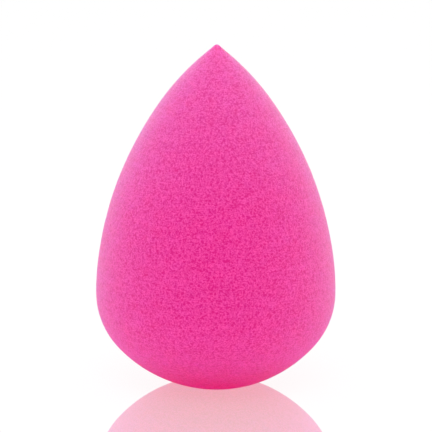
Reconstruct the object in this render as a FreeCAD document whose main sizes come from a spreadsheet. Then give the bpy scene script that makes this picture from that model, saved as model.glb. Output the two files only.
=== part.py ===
# Teardrop makeup sponge: one block of soft open-cell foam, ground to shape on the outside
# and the same all the way through. It stands on a small flat with its point straight up.
# The frame has its origin at the centre of that flat, with +Z up along the axis of the drop.
import FreeCAD, Part
import math
import os

import Sketcher

FOAM_NODE = "sponge_body"

# Driving dimensions, in millimetres and degrees. The arcs take their radii from these.
DRIVING_SIZES = {
    "overall_height": 60.0,  # from the base flat to the tip
    "girth_diameter": 41.4,  # across the widest ring
    "girth_height": 15.5,  # of the widest ring, above the base flat
    "base_flat_diameter": 10.0,  # of the flat that the sponge stands on
    "belly_sweep": 36.0,  # degrees that the belly turns under, before the bowl takes over
    "flank_sweep": 33.0,  # degrees that the flank leans in, before the nose takes over
    "tip_half_angle": 47.0,  # degrees between the axis and the straight side of the point
    "point_length": 3.5,  # of that straight side
    "tip_radius": 0.35,  # of the blunt tip
}

# Ends of a sketch element, as the sketcher counts them.
START, END, CENTRE = range(1, 4)
# The sketch's own axes, as the sketcher counts them, and the point where they cross.
HORIZONTAL_AXIS, VERTICAL_AXIS = range(-1, -3, -1)
ORIGIN = (HORIZONTAL_AXIS, START)


def add_size_sheet(doc):
    sheet = doc.addObject("Spreadsheet::Sheet", "sizes")
    for row, (alias, value) in enumerate(DRIVING_SIZES.items(), start=1):
        sheet.set(f"A{row}", alias)
        sheet.set(f"B{row}", str(value))
        sheet.setAlias(f"B{row}", alias)
    doc.recompute()
    return sheet


def origin_plane(body, role):
    return next(plane for plane in body.Origin.OriginFeatures if plane.Role == role)


def arc(centre_x, centre_z, radius, start_angle, end_angle):
    centre = FreeCAD.Vector(centre_x, centre_z, 0)
    circle = Part.Circle(centre, FreeCAD.Vector(0, 0, 1), radius)
    return Part.ArcOfCircle(circle, start_angle, end_angle)


def line(start_x, start_z, end_x, end_z):
    return Part.LineSegment(FreeCAD.Vector(start_x, start_z, 0), FreeCAD.Vector(end_x, end_z, 0))


def bind(sketch, name, expression, *constraint):
    index = sketch.addConstraint(Sketcher.Constraint(*constraint))
    sketch.renameConstraint(index, name)
    sketch.setExpression(f"Constraints.{name}", expression)


# Half of the drop's outline, from the base flat up to the tip. The bowl is part of a sphere
# about the axis. It rolls into the belly, which is upright at the widest ring. From there the
# long flank leans in, the nose bends a little faster, and a short straight point ends in the
# blunt tip. Above the rim of the flat, all of them meet without a corner.
def draw_teardrop(sketch, sheet):
    height = sheet.overall_height
    girth_radius = sheet.girth_diameter / 2
    girth_height = sheet.girth_height
    flat_radius = sheet.base_flat_diameter / 2
    belly_sweep = math.radians(sheet.belly_sweep)
    flank_sweep = math.radians(sheet.flank_sweep)
    half_angle = math.radians(sheet.tip_half_angle)
    point_length = sheet.point_length
    tip_radius = sheet.tip_radius

    # The belly's centre lies this far from the axis when the bowl's sphere, centred on the axis,
    # passes through the rim of the flat and meets the belly where its sweep ends.
    bend = 1 / math.cos(belly_sweep) - 1
    lean = girth_height * math.tan(belly_sweep) - girth_radius * bend
    deficit = girth_radius**2 - girth_height**2 - flat_radius**2
    belly_x = (math.sqrt(lean**2 + 2 * bend * deficit) - lean) / (2 * bend)
    belly_radius = girth_radius - belly_x
    bowl_radius = belly_radius + belly_x / math.cos(belly_sweep)
    bowl_z = girth_height + belly_x * math.tan(belly_sweep)
    bowl_start = -math.acos(flat_radius / bowl_radius)

    # The straight point, from the nose up to the round of the tip.
    tip_z = height - tip_radius
    point_end_x = tip_radius * math.cos(half_angle)
    point_end_z = tip_z + tip_radius * math.sin(half_angle)
    point_start_x = point_end_x + point_length * math.sin(half_angle)
    point_start_z = point_end_z - point_length * math.cos(half_angle)

    # The flank and the nose, each through its own sweep, climb from the widest ring to the point.
    run = girth_radius - point_start_x
    rise = point_start_z - girth_height
    flank_run = 1 - math.cos(flank_sweep)
    flank_rise = math.sin(flank_sweep)
    nose_run = math.cos(flank_sweep) - math.cos(half_angle)
    nose_rise = math.sin(half_angle) - math.sin(flank_sweep)
    share = flank_run * nose_rise - nose_run * flank_rise
    flank_radius = (run * nose_rise - rise * nose_run) / share
    nose_radius = (rise * flank_run - run * flank_rise) / share
    flank_x = girth_radius - flank_radius
    nose_x = flank_x + (flank_radius - nose_radius) * math.cos(flank_sweep)
    nose_z = girth_height + (flank_radius - nose_radius) * math.sin(flank_sweep)

    axis = sketch.addGeometry(line(0, 0, 0, height))
    base = sketch.addGeometry(line(0, 0, flat_radius, 0))
    bowl = sketch.addGeometry(arc(0, bowl_z, bowl_radius, bowl_start, -belly_sweep))
    belly = sketch.addGeometry(arc(belly_x, girth_height, belly_radius, -belly_sweep, 0))
    flank = sketch.addGeometry(arc(flank_x, girth_height, flank_radius, 0, flank_sweep))
    nose = sketch.addGeometry(arc(nose_x, nose_z, nose_radius, flank_sweep, half_angle))
    point = sketch.addGeometry(line(point_start_x, point_start_z, point_end_x, point_end_z))
    tip = sketch.addGeometry(arc(0, tip_z, tip_radius, half_angle, math.pi / 2))

    for constraint in (
        ("Coincident", axis, START, *ORIGIN),
        ("Coincident", base, START, *ORIGIN),
        ("Vertical", axis),
        ("Horizontal", base),
        ("Coincident", base, END, bowl, START),
        ("PointOnObject", bowl, CENTRE, VERTICAL_AXIS),
        ("Tangent", bowl, END, belly, START),
        ("Horizontal", belly, CENTRE, belly, END),
        ("Tangent", belly, END, flank, START),
        ("Tangent", flank, END, nose, START),
        ("Tangent", nose, END, point, START),
        ("Tangent", point, END, tip, START),
        ("PointOnObject", tip, CENTRE, VERTICAL_AXIS),
        ("Coincident", tip, END, axis, END),
    ):
        sketch.addConstraint(Sketcher.Constraint(*constraint))

    bind(sketch, "height", "sizes.overall_height", "DistanceY", axis, START, axis, END, height)
    bind(sketch, "girth", "sizes.girth_diameter / 2", "DistanceX", *ORIGIN, belly, END, girth_radius)
    bind(sketch, "girth_level", "sizes.girth_height", "DistanceY", *ORIGIN, belly, END, girth_height)
    bind(sketch, "flat", "sizes.base_flat_diameter / 2", "DistanceX", base, START, base, END, flat_radius)
    bind(sketch, "belly_turn", "sizes.belly_sweep", "Angle", belly, belly_sweep)
    bind(sketch, "flank_turn", "sizes.flank_sweep", "Angle", flank, flank_sweep)
    bind(sketch, "tip_turn", "90 - sizes.tip_half_angle", "Angle", tip, math.pi / 2 - half_angle)
    bind(sketch, "point_side", "sizes.point_length", "Distance", point, point_length)
    bind(sketch, "tip_round", "sizes.tip_radius", "Radius", tip, tip_radius)


def build_foam_body(doc, sheet):
    body = doc.addObject("PartDesign::Body", FOAM_NODE)
    body.Label = FOAM_NODE
    sketch = body.newObject("Sketcher::SketchObject", "teardrop_outline")
    sketch.AttachmentSupport = (origin_plane(body, "XZ_Plane"), [""])
    sketch.MapMode = "FlatFace"
    draw_teardrop(sketch, sheet)
    doc.recompute()
    drop = body.newObject("PartDesign::Revolution", "teardrop")
    drop.Profile = sketch
    drop.ReferenceAxis = (sketch, ["V_Axis"])
    drop.Angle = 360
    body.Placement = FreeCAD.Placement()
    return body


def check_document(doc, sub_parts):
    for item in doc.Objects:
        if "Invalid" in item.State or "Error" in item.State:
            raise RuntimeError(f"{item.Name} failed: {item.State}")
    for sub_part in sub_parts:
        if sub_part.Shape.isNull() or not sub_part.Shape.isValid():
            raise RuntimeError(f"{sub_part.Label} has no valid shape")


def main():
    doc = FreeCAD.newDocument("makeup_sponge")
    sheet = add_size_sheet(doc)
    sub_parts = [build_foam_body(doc, sheet)]
    doc.recompute()
    check_document(doc, sub_parts)
    os.makedirs("parts", exist_ok=True)
    for sub_part in sub_parts:
        sub_part.Shape.exportStep(f"parts/{sub_part.Label}.step")
        box = sub_part.Shape.optimalBoundingBox()
        volume_cm3 = sub_part.Shape.Volume / 1000
        print(f"{sub_part.Label}: {box.XLength:.2f} x {box.YLength:.2f} x {box.ZLength:.2f} mm,",
              f"{volume_cm3:.2f} cm3, centre of gravity {sub_part.Shape.CenterOfGravity.z:.2f} mm up")


main()
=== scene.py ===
from bisect import bisect_right
import math

import bmesh
import bpy
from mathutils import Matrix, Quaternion, Vector, noise


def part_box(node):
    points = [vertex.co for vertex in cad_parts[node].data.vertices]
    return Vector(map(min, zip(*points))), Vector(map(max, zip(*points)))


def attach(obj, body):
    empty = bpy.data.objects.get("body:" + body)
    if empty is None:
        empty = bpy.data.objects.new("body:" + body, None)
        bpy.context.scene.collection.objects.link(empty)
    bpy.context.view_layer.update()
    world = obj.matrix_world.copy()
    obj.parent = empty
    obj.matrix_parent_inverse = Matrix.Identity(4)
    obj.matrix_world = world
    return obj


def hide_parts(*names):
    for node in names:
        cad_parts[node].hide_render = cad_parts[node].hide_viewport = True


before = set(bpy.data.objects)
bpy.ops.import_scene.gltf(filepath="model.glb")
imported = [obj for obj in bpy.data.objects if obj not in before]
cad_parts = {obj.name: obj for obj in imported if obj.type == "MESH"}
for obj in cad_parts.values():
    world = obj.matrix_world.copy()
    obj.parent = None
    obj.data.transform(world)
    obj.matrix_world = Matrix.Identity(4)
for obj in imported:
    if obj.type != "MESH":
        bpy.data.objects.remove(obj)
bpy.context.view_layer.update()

mm = 0.001
plainWhite = (1, 1, 1, 1)
scene = bpy.context.scene
spongeLow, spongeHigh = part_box("sponge_body")


def linearColour(hexCode):
    channels = [int(hexCode[i:i + 2], 16) / 255 for i in (1, 3, 5)]
    linear = [c / 12.92 if c <= 0.04045 else ((c + 0.055) / 1.055) ** 2.4 for c in channels]
    return (*linear, 1)


# adds one node, sets what is named, and links each input that is given an output socket;
# on a Mix node of colours, 6 and 7 are the inputs A and B, and 2 is the output
def addNode(tree, kind, settings=None, inputs=None):
    node = tree.nodes.new(kind)
    for name, value in (settings or {}).items():
        setattr(node, name, value)
    for name, value in (inputs or {}).items():
        if isinstance(value, bpy.types.NodeSocket):
            tree.links.new(value, node.inputs[name])
        else:
            node.inputs[name].default_value = value
    return node


def newTree(name):
    material = bpy.data.materials.new(name)
    material.use_nodes = True
    material.node_tree.nodes.clear()
    return material, material.node_tree


# 1 for what is looked at straight, in a mirror or through glass, and 0 for light on its way
def lookedAt(tree):
    path = addNode(tree, "ShaderNodeLightPath")
    mirrored = addNode(tree, "ShaderNodeMath", {"operation": "MAXIMUM"}, {
        0: path.outputs["Is Camera Ray"],
        1: path.outputs["Is Glossy Ray"],
    })
    through = addNode(tree, "ShaderNodeMath", {"operation": "MAXIMUM"}, {
        0: mirrored.outputs["Value"],
        1: path.outputs["Is Transmission Ray"],
    })
    return through.outputs["Value"]


# the camera stands in front of the sponge and looks a little down on it
cameraSet = {
    "elevation": 12,  # degrees above level
    "distance": 600,  # mm from the axis of the sponge
    "pictureWidth": 75.08,  # mm that the picture takes in at that distance
    "aimHeight": 29.82,  # mm above the floor
    "aimSide": -0.02,  # mm beside the axis
    "roll": 0.23,  # degrees that the camera leans to its left
    "sensor": 36,  # mm
}


def addCamera(look):
    data = bpy.data.cameras.new("photoCamera")
    data.sensor_width = look["sensor"]
    data.lens = look["sensor"] * look["distance"] / look["pictureWidth"]
    camera = bpy.data.objects.new("photoCamera", data)
    tilt = math.radians(look["elevation"])
    back = Vector((0, -math.cos(tilt), math.sin(tilt)))
    aim = Vector((look["aimSide"], 0, look["aimHeight"]))
    camera.location = (aim + back * look["distance"]) * mm
    camera.rotation_mode = "QUATERNION"
    roll = Quaternion((0, 0, 1), math.radians(look["roll"]))
    camera.rotation_quaternion = (-back).to_track_quat("-Z", "Y") @ roll
    scene.collection.objects.link(camera)
    scene.camera = camera


addCamera(cameraSet)
print("camera in place")

# the foam drop, in mm and degrees
spongeShape = {
    # its outline, walked from the middle of the flat up to the tip
    "flatRadius": 4.65,
    # each arc's radius, and how steep the outline stands at its end: 0 is level, 90 upright
    "arcs": {
        "rim": (4.0, 14.7),
        "bowl": (23.9, 48.4),
        "belly": (13.6, 90.0),
        "shoulder": (46.2, 97.9),
        "flank": (62.4, 125.3),
        "nose": (45.0, 139.2),
    },
    "tipRadius": 0.5,
    "step": 0.1,  # between the points that the surface is read from
    "arcSteps": 4,  # at the least
    "tipSteps": 16,
    "cuts": 127,  # across each side of the starting cube
    # open cells, cut through by the grinding: real ones are about 0.2 mm across, and these
    # are drawn coarser so that they show
    "cellPitch": 0.62,
    "cellMouth": 0.8,  # share of the pitch that a cell's mouth takes
    "cellBite": 0.06,  # how deep the deepest cell goes
    "wallProud": 0.3,  # share of the bite that the walls stand proud of the outline
    "cellMean": 0.35,  # share of the bite that a cell reaches on average
    "cellSpread": 0.65,  # either way: some are still closed, and stand proud
    "cellShuffle": 41.7,  # spreads neighbouring cells apart before each draws its depth
    "grain": 0.45,  # size of the torn walls between the cells
    "grainDepth": 0.02,
    "wander": 14.0,  # size of the slow unevenness left by the grinding wheel
    "wanderDepth": 0.05,
    # the map that the foam is baked to: one tile for each side of the starting cube
    "mapName": "OFBake",
    "mapAcross": 3,
    "mapUp": 2,
    "mapBorder": 0.006,  # share of a tile left empty along its edge
}


# points along the outline, each with its radius, height and steepness
def walkOutline(shape):
    points = []
    radius, height, steep = shape["flatRadius"], 0.0, 0.0
    flatSteps = round(radius / shape["step"])
    points += [(radius * i / flatSteps, 0.0, 0.0) for i in range(flatSteps)]
    for arcRadius, endSteep in shape["arcs"].values():
        end = math.radians(endSteep)
        steps = max(shape["arcSteps"], round(arcRadius * (end - steep) / shape["step"]))
        for i in range(steps):
            turned = steep + (end - steep) * i / steps
            points.append((
                radius + arcRadius * (math.sin(turned) - math.sin(steep)),
                height + arcRadius * (math.cos(steep) - math.cos(turned)),
                turned,
            ))
        radius += arcRadius * (math.sin(end) - math.sin(steep))
        height += arcRadius * (math.cos(steep) - math.cos(end))
        steep = end
    # the straight point takes what is left, up to where the round tip meets the axis
    tip = shape["tipRadius"]
    straight = (radius - tip * math.sin(steep)) / -math.cos(steep)
    steps = round(straight / shape["step"])
    for i in range(steps):
        along = straight * i / steps
        points.append((radius + along * math.cos(steep), height + along * math.sin(steep), steep))
    height += straight * math.sin(steep)
    steps = shape["tipSteps"]
    for i in range(steps + 1):
        turned = steep + (math.pi - steep) * i / steps
        points.append((tip * math.sin(turned), height + tip * (math.cos(steep) - math.cos(turned)), turned))
    return points


# how deep the surface lies at a place: 0 on a wall between cells, up to 1 in an open cell,
# and below 0 on a closed one
def cellDepth(place, shape):
    distances, centres = noise.voronoi(place / shape["cellPitch"])
    bowl = max(0.0, 1 - distances[0] / shape["cellMouth"])
    draw = noise.cell(centres[0] * shape["cellShuffle"])
    size = shape["cellMean"] + shape["cellSpread"] * draw
    return bowl * bowl * (3 - 2 * bowl) * size


def addSponge(shape):
    bm = bmesh.new()
    bmesh.ops.create_cube(bm, size=2)
    bmesh.ops.subdivide_edges(bm, edges=bm.edges[:], cuts=shape["cuts"], use_grid_fill=True)
    bm.normal_update()

    bakeMap = bm.loops.layers.uv.new(shape["mapName"])
    border = shape["mapBorder"]
    sides = {}
    for face in bm.faces:
        side = Vector(map(round, face.normal))
        column, row = divmod(sides.setdefault(side.to_tuple(), len(sides)), shape["mapUp"])
        up = Vector((0, 1, 0)) if side.z else Vector((0, 0, 1))
        across = up.cross(side)
        for loop in face.loops:
            u = border + (1 - 2 * border) * (loop.vert.co.dot(across) + 1) / 2
            v = border + (1 - 2 * border) * (loop.vert.co.dot(up) + 1) / 2
            loop[bakeMap].uv = ((column + u) / shape["mapAcross"], (row + v) / shape["mapUp"])

    # shares of the whole surface that lie below each point of the outline
    outline = walkOutline(shape)
    shares = [0.0]
    for (r0, z0, _), (r1, z1, _) in zip(outline, outline[1:]):
        shares.append(shares[-1] + (r0 + r1) * math.hypot(r1 - r0, z1 - z0))
    shares = [share / shares[-1] for share in shares]
    fit = (spongeHigh.z - spongeLow.z) / mm / outline[-1][1]

    depths = bm.verts.layers.float.new("cellDepth")
    for vert in bm.verts:
        # the cube becomes a ball, and the ball's rings become the drop's, with the same share below
        ball = Vector([math.tan(c * math.pi / 4) for c in vert.co]).normalized()
        share = min(max((1 + ball.z) / 2, 0.0), 1.0)
        i = min(bisect_right(shares, share), len(shares) - 1)
        t = (share - shares[i - 1]) / (shares[i] - shares[i - 1])
        radius, height, steep = [a + (b - a) * t for a, b in zip(outline[i - 1], outline[i])]
        ring = Vector((ball.x, ball.y, 0))
        ring = ring.normalized() if ring.length > 1e-9 else ring  # the two poles have no ring
        place = (ring * radius + Vector((0, 0, height))) * fit
        outward = ring * math.sin(steep) - Vector((0, 0, math.cos(steep)))
        deep = cellDepth(place, shape)
        grain = noise.noise(place / shape["grain"])
        slow = noise.noise(place / shape["wander"])
        out = slow * shape["wanderDepth"] + grain * shape["grainDepth"]
        out += (shape["wallProud"] - deep) * shape["cellBite"]
        vert.co = (place + outward * out) * mm
        vert.co.z = max(vert.co.z, spongeLow.z)  # it presses flat on what it stands on
        # the depth that the foam's colour darkens with, as painted shade
        vert[depths] = deep

    bmesh.ops.recalc_face_normals(bm, faces=bm.faces[:])
    for face in bm.faces:
        face.smooth = True
    mesh = bpy.data.meshes.new("sponge")
    bm.to_mesh(mesh)
    bm.free()
    sponge = bpy.data.objects.new("sponge", mesh)
    scene.collection.objects.link(sponge)
    return sponge


# open-cell polyurethane foam, dyed through and ground: matt, deep pink, with open cells darkened by painted
# shade, faint rings from the grinding, and a pale velvet sheen where the torn walls are seen edge on;
# painted light pales it towards the point
foamLook = {
    "wall": "#F855BB",
    # cell colour: painted shade, the dye as it looks deep in the pits
    "cell": "#E2038C",
    "grain": 0.255,  # mm between the torn walls
    "grainDetail": 2.0,
    "grainRoughness": 0.6,
    "grainLow": 0.36,  # the grain's values that show as cell and as wall
    "grainHigh": 0.62,
    # deep pores and modelled cells take the cell colour as painted shade
    "pore": 0.75,  # mm between the pores that go deep, drawn coarse so that they show
    "poreRadius": 0.34,  # mm
    "poreShade": 0.9,
    "cellShade": 0.2,  # how much painted shade darkens a modelled cell
    "ring": 0.22,  # mm between the faint rings that the grinding left
    "ringLength": 6,  # mm that one runs before it fades
    "ringDetail": 1.0,
    "ringShade": 0.6,
    "paintedTipLight": "#F2B8FF",  # painted light: pales the foam towards the point, in place of the sheen and the light from above
    "paintedTipLightOnWall": 0.175,  # share at the tip
    "paintedTipLightInCell": 0.1,
    "paintedTipLightFrom": 32,  # mm above the base
    "roughness": 0.9,
    "specular": 0.0,
    "sheen": 0.55,
    "sheenRoughness": 0.6,
    "sheenTint": "#E1EBDC",
    "soak": 1.0,  # share of the light that wanders inside before it comes out
    "soakDepth": 4.0,  # mm that red light wanders
    "soakByColour": (1.0, 0.06, 0.15),
}


def makeFoam(look):
    material, tree = newTree("ground polyurethane foam")
    place = addNode(tree, "ShaderNodeTexCoord")
    grain = addNode(tree, "ShaderNodeTexNoise", None, {
        "Vector": place.outputs["Object"],
        "Scale": 1 / (look["grain"] * mm),
        "Detail": look["grainDetail"],
        "Roughness": look["grainRoughness"],
    })
    wall = addNode(tree, "ShaderNodeMapRange", None, {
        "Value": grain.outputs["Fac"],
        "From Min": look["grainLow"],
        "From Max": look["grainHigh"],
    })
    pores = addNode(tree, "ShaderNodeTexVoronoi", None, {
        "Vector": place.outputs["Object"],
        "Scale": 1 / (look["pore"] * mm),
    })
    pore = addNode(tree, "ShaderNodeMapRange", {"interpolation_type": "SMOOTHSTEP"}, {
        "Value": pores.outputs["Distance"],
        "From Min": 0.0,
        "From Max": look["poreRadius"] / look["pore"],
        "To Min": look["poreShade"],
        "To Max": 0.0,
    })
    # painted shade: deeper modelled cells and the middles of the deep pores are drawn darker
    cell = addNode(tree, "ShaderNodeAttribute", {"attribute_name": "cellDepth"})
    dark = addNode(tree, "ShaderNodeMath", {"operation": "MULTIPLY_ADD"}, {
        0: cell.outputs["Fac"],
        1: look["cellShade"],
        2: pore.outputs["Result"],
    })
    # grinding rings run round the axis, so the noise is long across it and short along it
    around = 1 / (look["ringLength"] * mm)
    stretch = addNode(tree, "ShaderNodeMapping", None, {
        "Vector": place.outputs["Object"],
        "Scale": (around, around, 1 / (look["ring"] * mm)),
    })
    rings = addNode(tree, "ShaderNodeTexNoise", None, {
        "Vector": stretch.outputs["Vector"],
        "Scale": 1.0,
        "Detail": look["ringDetail"],
    })
    ring = addNode(tree, "ShaderNodeMapRange", None, {
        "Value": rings.outputs["Fac"],
        "To Min": -look["ringShade"] / 2,
        "To Max": look["ringShade"] / 2,
    })
    ringed = addNode(tree, "ShaderNodeMath", {"operation": "ADD"}, {
        0: dark.outputs["Value"],
        1: ring.outputs["Result"],
    })
    shade = addNode(tree, "ShaderNodeMath", {"operation": "SUBTRACT", "use_clamp": True}, {
        0: wall.outputs["Result"],
        1: ringed.outputs["Value"],
    })
    # the grain varies at random, and its dark end is painted shade in the pits
    colour = addNode(tree, "ShaderNodeMix", {"data_type": "RGBA"}, {
        "Factor": shade.outputs["Value"],
        6: linearColour(look["cell"]),
        7: linearColour(look["wall"]),
    })
    # painted light: the foam turns paler towards the point, more on the walls than in the cells
    axes = addNode(tree, "ShaderNodeSeparateXYZ", None, {"Vector": place.outputs["Object"]})
    paintedTipLightTop = addNode(tree, "ShaderNodeMath", {"operation": "MULTIPLY_ADD"}, {
        0: shade.outputs["Value"],
        1: look["paintedTipLightOnWall"] - look["paintedTipLightInCell"],
        2: look["paintedTipLightInCell"],
    })
    paintedTipLight = addNode(tree, "ShaderNodeMapRange", None, {
        "Value": axes.outputs["Z"],
        "From Min": look["paintedTipLightFrom"] * mm,
        "From Max": spongeHigh.z,
        "To Max": paintedTipLightTop.outputs["Value"],
    })
    tipLightPainted = addNode(tree, "ShaderNodeMix", {"data_type": "RGBA"}, {
        "Factor": paintedTipLight.outputs["Result"],
        6: colour.outputs[2],
        7: linearColour(look["paintedTipLight"]),
    })
    foam = addNode(tree, "ShaderNodeBsdfPrincipled", None, {
        "Base Color": tipLightPainted.outputs[2],
        "Roughness": look["roughness"],
        "Specular IOR Level": look["specular"],
        "Sheen Weight": look["sheen"],
        "Sheen Roughness": look["sheenRoughness"],
        "Sheen Tint": linearColour(look["sheenTint"]),
        "Subsurface Weight": look["soak"],
        "Subsurface Scale": look["soakDepth"] * mm,
        "Subsurface Radius": look["soakByColour"],
    })
    addNode(tree, "ShaderNodeOutputMaterial", None, {"Surface": foam.outputs["BSDF"]})
    return material


sponge = addSponge(spongeShape)
sponge.data.materials.append(makeFoam(foamLook))
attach(sponge, "root")
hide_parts("sponge_body")
print("sponge shaped:", len(sponge.data.polygons), "faces")

# polished white acrylic sheet: bright, and mirrors what stands on it at a low angle
floorLook = {
    "size": 3000,  # mm
    "gap": 0.02,  # mm under the sponge, so that the two faces do not coincide
    "colour": "#FFFFFF",
    "glow": 0.8,  # share of the sheet that is looked at as plain white, without shadow
    "glowStrength": 1.05,  # makes up for the shadow in the rest
    # light that it throws back up: deep pink from the foam close to the sponge, paler farther out
    "bounceNear": "#E00C87",
    "bounceFar": "#FBC0E8",
    "bounceStrength": 1.2,
    "nearRadius": 18,  # mm from the sponge's axis
    "farRadius": 22.2,
    "mirror": 0.72,  # share that mirrors at the flattest angle
    "roughness": 0.02,
}


def addFloor(look):
    bm = bmesh.new()
    bmesh.ops.create_grid(bm, x_segments=1, y_segments=1, size=look["size"] * mm / 2)
    bmesh.ops.translate(bm, verts=bm.verts[:], vec=(0, 0, -look["gap"] * mm))
    mesh = bpy.data.meshes.new("floor")
    bm.to_mesh(mesh)
    bm.free()
    material, tree = newTree("polished white acrylic")
    sheet = addNode(tree, "ShaderNodeBsdfDiffuse", None, {"Color": linearColour(look["colour"])})
    glow = addNode(tree, "ShaderNodeEmission", None, {
        "Color": plainWhite,
        "Strength": look["glowStrength"],
    })
    body = addNode(tree, "ShaderNodeMixShader", None, {
        "Fac": look["glow"],
        1: sheet.outputs["BSDF"],
        2: glow.outputs["Emission"],
    })
    polish = addNode(tree, "ShaderNodeBsdfGlossy", None, {
        "Color": plainWhite,
        "Roughness": look["roughness"],
    })
    angle = addNode(tree, "ShaderNodeLayerWeight")
    gloss = addNode(tree, "ShaderNodeMath", {"operation": "MULTIPLY"}, {
        0: angle.outputs["Facing"],
        1: look["mirror"],
    })
    polished = addNode(tree, "ShaderNodeMixShader", None, {
        "Fac": gloss.outputs["Value"],
        1: body.outputs["Shader"],
        2: polish.outputs["BSDF"],
    })
    place = addNode(tree, "ShaderNodeTexCoord")
    distance = addNode(tree, "ShaderNodeVectorMath", {"operation": "LENGTH"}, {
        0: place.outputs["Object"],
    })
    far = addNode(tree, "ShaderNodeMapRange", None, {
        "Value": distance.outputs["Value"],
        "From Min": look["nearRadius"] * mm,
        "From Max": look["farRadius"] * mm,
    })
    thrown = addNode(tree, "ShaderNodeMix", {"data_type": "RGBA"}, {
        "Factor": far.outputs["Result"],
        6: linearColour(look["bounceNear"]),
        7: linearColour(look["bounceFar"]),
    })
    bounce = addNode(tree, "ShaderNodeEmission", None, {
        "Color": thrown.outputs[2],
        "Strength": look["bounceStrength"],
    })
    surface = addNode(tree, "ShaderNodeMixShader", None, {
        "Fac": lookedAt(tree),
        1: bounce.outputs["Emission"],
        2: polished.outputs["Shader"],
    })
    addNode(tree, "ShaderNodeOutputMaterial", None, {"Surface": surface.outputs["Shader"]})
    mesh.materials.append(material)
    floor = bpy.data.objects.new("floor", mesh)
    scene.collection.objects.link(floor)
    return floor


floor = addFloor(floorLook)
print("floor laid")

# a white light tent over the back and the sides, dark round the camera, with a softbox above it
lightSet = {
    "tent": 0.98,
    "tentFront": 0.0,
    "frontEnds": -0.8,  # where the dark front ends and the full tent starts,
    "tentStarts": -0.3,  # with -1 straight in front of the sponge and 1 straight behind
    "tentLeft": "#F3F7FF",  # daylight on this side
    "tentRight": "#F7F0E6",  # and lamplight on this one
    "softboxes": {
        # place in mm, size in mm, watts
        "front": ((0, -450, 500), 400, 1.92),
    },
    "aimHeight": 30,  # mm above the floor
}


def addLights(look):
    world = bpy.data.worlds.new("lightTent")
    world.use_nodes = True
    tree = world.node_tree
    tree.nodes.clear()
    direction = addNode(tree, "ShaderNodeTexCoord")
    axes = addNode(tree, "ShaderNodeSeparateXYZ", None, {"Vector": direction.outputs["Generated"]})
    lit = addNode(tree, "ShaderNodeMapRange", {"interpolation_type": "SMOOTHSTEP"}, {
        "Value": axes.outputs["Y"],
        "From Min": look["frontEnds"],
        "From Max": look["tentStarts"],
        "To Min": look["tentFront"],
        "To Max": look["tent"],
    })
    side = addNode(tree, "ShaderNodeMapRange", None, {"Value": axes.outputs["X"], "From Min": -1.0})
    tint = addNode(tree, "ShaderNodeMix", {"data_type": "RGBA"}, {
        "Factor": side.outputs["Result"],
        6: linearColour(look["tentLeft"]),
        7: linearColour(look["tentRight"]),
    })
    tent = addNode(tree, "ShaderNodeBackground", None, {
        "Color": tint.outputs[2],
        "Strength": lit.outputs["Result"],
    })
    backdrop = addNode(tree, "ShaderNodeBackground", None, {"Color": plainWhite})
    shown = addNode(tree, "ShaderNodeMixShader", None, {
        "Fac": lookedAt(tree),
        1: tent.outputs["Background"],
        2: backdrop.outputs["Background"],
    })
    addNode(tree, "ShaderNodeOutputWorld", None, {"Surface": shown.outputs["Shader"]})
    scene.world = world

    aim = Vector((0, 0, look["aimHeight"]))
    for name, (place, size, watts) in look["softboxes"].items():
        data = bpy.data.lights.new(name, "AREA")
        data.energy = watts
        data.size = size * mm
        softbox = bpy.data.objects.new(name, data)
        softbox.location = Vector(place) * mm
        softbox.rotation_mode = "QUATERNION"
        softbox.rotation_quaternion = (aim - Vector(place)).to_track_quat("-Z", "Y")
        scene.collection.objects.link(softbox)


addLights(lightSet)
scene.view_settings.view_transform = "Standard"
print("lights on")
